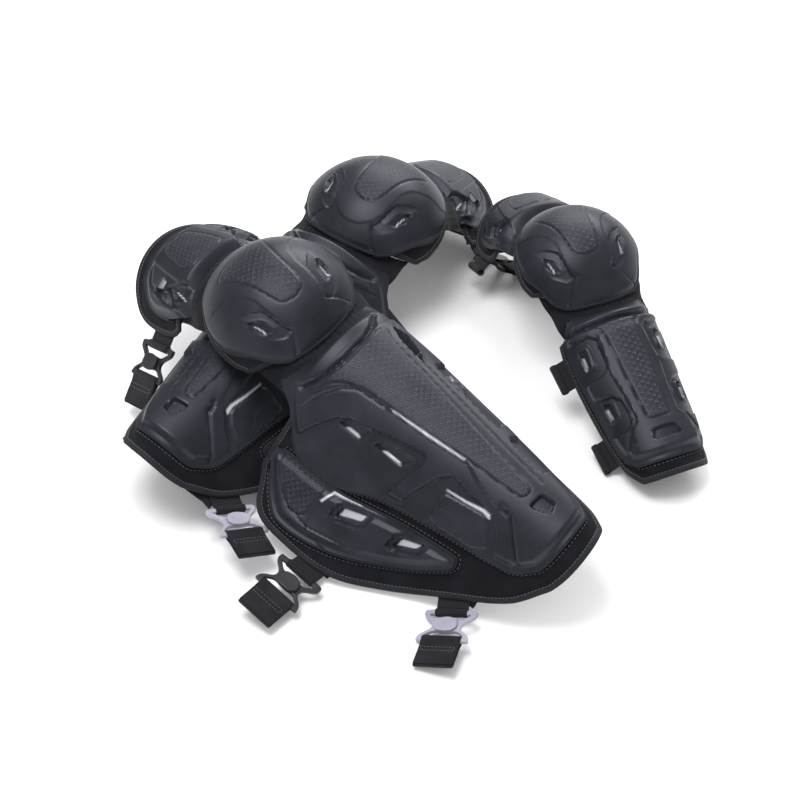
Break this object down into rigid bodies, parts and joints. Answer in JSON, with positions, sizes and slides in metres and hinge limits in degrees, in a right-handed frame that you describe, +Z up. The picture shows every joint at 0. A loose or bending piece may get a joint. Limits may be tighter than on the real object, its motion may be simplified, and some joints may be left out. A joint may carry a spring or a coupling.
{
  "type": "limb guard set",
  "caption": "Hard-shell knee and shin guards with a shorter elbow guard, lying in a loose pile: domed cups hinged between moulded plates on bound cloth, with webbing straps and hooks.",
  "frame": {"origin": "on the ground under the middle of the whole set", "axes": "+Z up; +X to the right of the set and +Y away from the viewer, who faces the long guards; +Y is the longest side of the set"},
  "size_m": [0.5606, 0.666, 0.2],
  "materials": {
    "shell": "satin, fine moulded grain",
    "cloth": "matt knit with bound edges",
    "foam": "matt cloth over foam",
    "webbing": "woven, matt",
    "hook_dark": "satin",
    "hook_light": "satin"
  },
  "bodies": {
    "left_shin": {"left_shin_shell": "shell", "left_shin_carrier": "cloth", "left_shin_pad": "foam", "left_wing_shell": "shell", "left_calf_strap": "webbing", "left_calf_webbing": "webbing", "left_ankle_strap": "webbing", "left_ankle_webbing": "webbing"},
    "left_knee": {"left_knee_cup": "shell", "left_knee_band": "cloth", "left_knee_pad": "foam"},
    "left_thigh": {"left_thigh_shell": "shell", "left_thigh_carrier": "cloth", "left_thigh_pad": "foam", "left_thigh_strap": "webbing", "left_thigh_webbing": "webbing"},
    "left_thigh_hook": {"left_thigh_hook": "hook_dark", "left_thigh_strap_end": "webbing"},
    "left_calf_hook": {"left_calf_hook": "hook_dark", "left_calf_strap_end": "webbing"},
    "left_ankle_hook": {"left_ankle_hook": "hook_light", "left_ankle_strap_end": "webbing"},
    "right_shin": {"right_shin_shell": "shell", "right_shin_carrier": "cloth", "right_shin_pad": "foam", "right_wing_shell": "shell", "right_calf_strap": "webbing", "right_calf_webbing": "webbing", "right_ankle_strap": "webbing", "right_ankle_webbing": "webbing"},
    "right_knee": {"right_knee_cup": "shell", "right_knee_band": "cloth", "right_knee_pad": "foam"},
    "right_thigh": {"right_thigh_shell": "shell", "right_thigh_carrier": "cloth", "right_thigh_pad": "foam", "right_thigh_strap": "webbing", "right_thigh_webbing": "webbing"},
    "right_thigh_hook": {"right_thigh_hook": "hook_dark", "right_thigh_strap_end": "webbing"},
    "right_calf_hook": {"right_calf_hook": "hook_dark", "right_calf_strap_end": "webbing"},
    "right_ankle_hook": {"right_ankle_hook": "hook_light", "right_ankle_strap_end": "webbing"},
    "arm_forearm": {"arm_forearm_shell": "shell", "arm_forearm_carrier": "cloth", "arm_forearm_pad": "foam", "arm_forearm_strap": "webbing", "arm_forearm_webbing": "webbing", "arm_wrist_strap": "webbing", "arm_wrist_webbing": "webbing"},
    "arm_elbow": {"arm_elbow_cup": "shell", "arm_elbow_band": "cloth", "arm_elbow_pad": "foam"},
    "arm_upper": {"arm_upper_shell": "shell", "arm_upper_carrier": "cloth", "arm_upper_pad": "foam", "arm_upper_strap": "webbing", "arm_upper_webbing": "webbing"}
  },
  "joints": [
    {"name": "left_knee_hinge", "type": "hinge", "parent": "left_shin", "child": "left_knee", "pos_m": [-0.03684, 0.1722, 0.07479], "axis": [0.825, -0.5609, -0.0697], "range_deg": [0, 2]},
    {"name": "left_thigh_hinge", "type": "hinge", "parent": "left_knee", "child": "left_thigh", "pos_m": [-0.03684, 0.1722, 0.07479], "axis": [0.825, -0.5609, -0.0697], "range_deg": [0, 3]},
    {"name": "right_lift", "type": "slide", "parent": "left_shin", "child": "right_shin", "axis": [0, 0, 1], "range_m": [0, 0.15]},
    {"name": "right_knee_hinge", "type": "hinge", "parent": "right_shin", "child": "right_knee", "pos_m": [-0.11984, -0.0039, 0.11779], "axis": [0.6751, 0.708, 0.2076], "range_deg": [0, 5]},
    {"name": "right_thigh_hinge", "type": "hinge", "parent": "right_knee", "child": "right_thigh", "pos_m": [-0.11984, -0.0039, 0.11779], "axis": [0.6751, 0.708, 0.2076], "range_deg": [0, 8]},
    {"name": "arm_lift", "type": "slide", "parent": "left_shin", "child": "arm_forearm", "axis": [0, 0, 1], "range_m": [0, 0.15]},
    {"name": "arm_elbow_hinge", "type": "hinge", "parent": "arm_forearm", "child": "arm_elbow", "pos_m": [0.16256, 0.1038, 0.08129], "axis": [0.928, 0.371, 0.0347], "range_deg": [0, 4]},
    {"name": "arm_upper_hinge", "type": "hinge", "parent": "arm_elbow", "child": "arm_upper", "pos_m": [0.16256, 0.1038, 0.08129], "axis": [0.928, 0.371, 0.0347], "range_deg": [0, 15]},
    {"name": "right_thigh_hook_hinge", "type": "hinge", "parent": "right_thigh", "child": "right_thigh_hook", "pos_m": [-0.24345, 0.01943, 0.06499], "axis": [-0.6381, 0.7015, -0.3174], "range_deg": [0, 60]},
    {"name": "right_calf_hook_hinge", "type": "hinge", "parent": "right_shin", "child": "right_calf_hook", "pos_m": [-0.09954, -0.22597, 0.01599], "axis": [-0.7358, 0.6284, 0.2525], "range_deg": [0, 60]},
    {"name": "right_ankle_hook_hinge", "type": "hinge", "parent": "right_shin", "child": "right_ankle_hook", "pos_m": [0.03658, -0.26821, 0.01054], "axis": [-0.9124, 0.2824, -0.2961], "range_deg": [0, 60]},
    {"name": "left_thigh_hook_hinge", "type": "hinge", "parent": "left_thigh", "child": "left_thigh_hook", "pos_m": [0.07899, 0.21122, 0.01416], "axis": [-0.4638, -0.7422, 0.4837], "range_deg": [0, 18]},
    {"name": "left_calf_hook_hinge", "type": "hinge", "parent": "left_shin", "child": "left_calf_hook", "pos_m": [-0.00194, -0.0623, 0.01248], "axis": [-0.5639, -0.8114, -0.154], "range_deg": [0, 60]},
    {"name": "left_ankle_hook_hinge", "type": "hinge", "parent": "left_shin", "child": "left_ankle_hook", "pos_m": [-0.16704, -0.15845, 0.0263], "axis": [-0.8418, -0.4306, 0.3255], "range_deg": [0, 8]}
  ]
}
